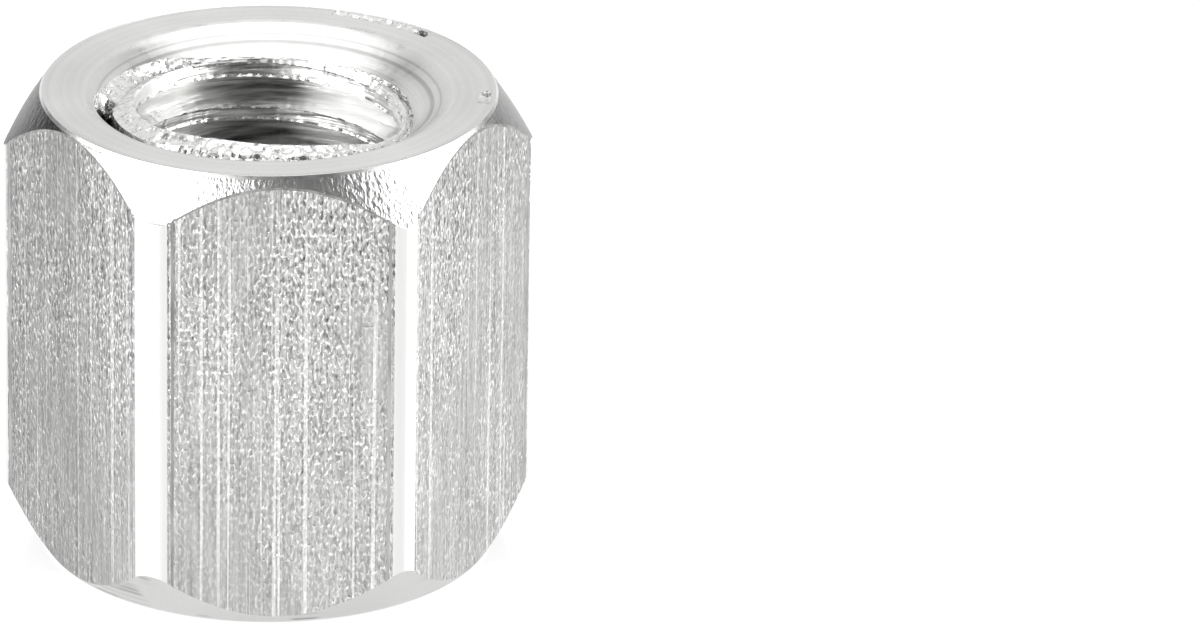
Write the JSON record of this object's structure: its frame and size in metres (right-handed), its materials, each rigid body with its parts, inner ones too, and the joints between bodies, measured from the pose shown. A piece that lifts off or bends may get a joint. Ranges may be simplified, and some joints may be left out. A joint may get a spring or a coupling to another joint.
{
  "type": "coupling nut",
  "caption": "Hexagonal coupling nut: a drawn steel bar with turned conical chamfers at both ends and a countersunk through thread that joins two threaded rods end to end.",
  "frame": {"origin": "centre of the lower end face, on the thread's axis", "axes": "+Z along the thread's axis, up out of the upper end face; one flat faces -Y, the corners lie along +X and -X"},
  "size_m": [0.0204, 0.018, 0.0185],
  "materials": {
    "bright_steel": "bright drawn steel, turned at the ends"
  },
  "bodies": {
    "root": {"coupling_nut": "bright_steel"}
  },
  "joints": []
}
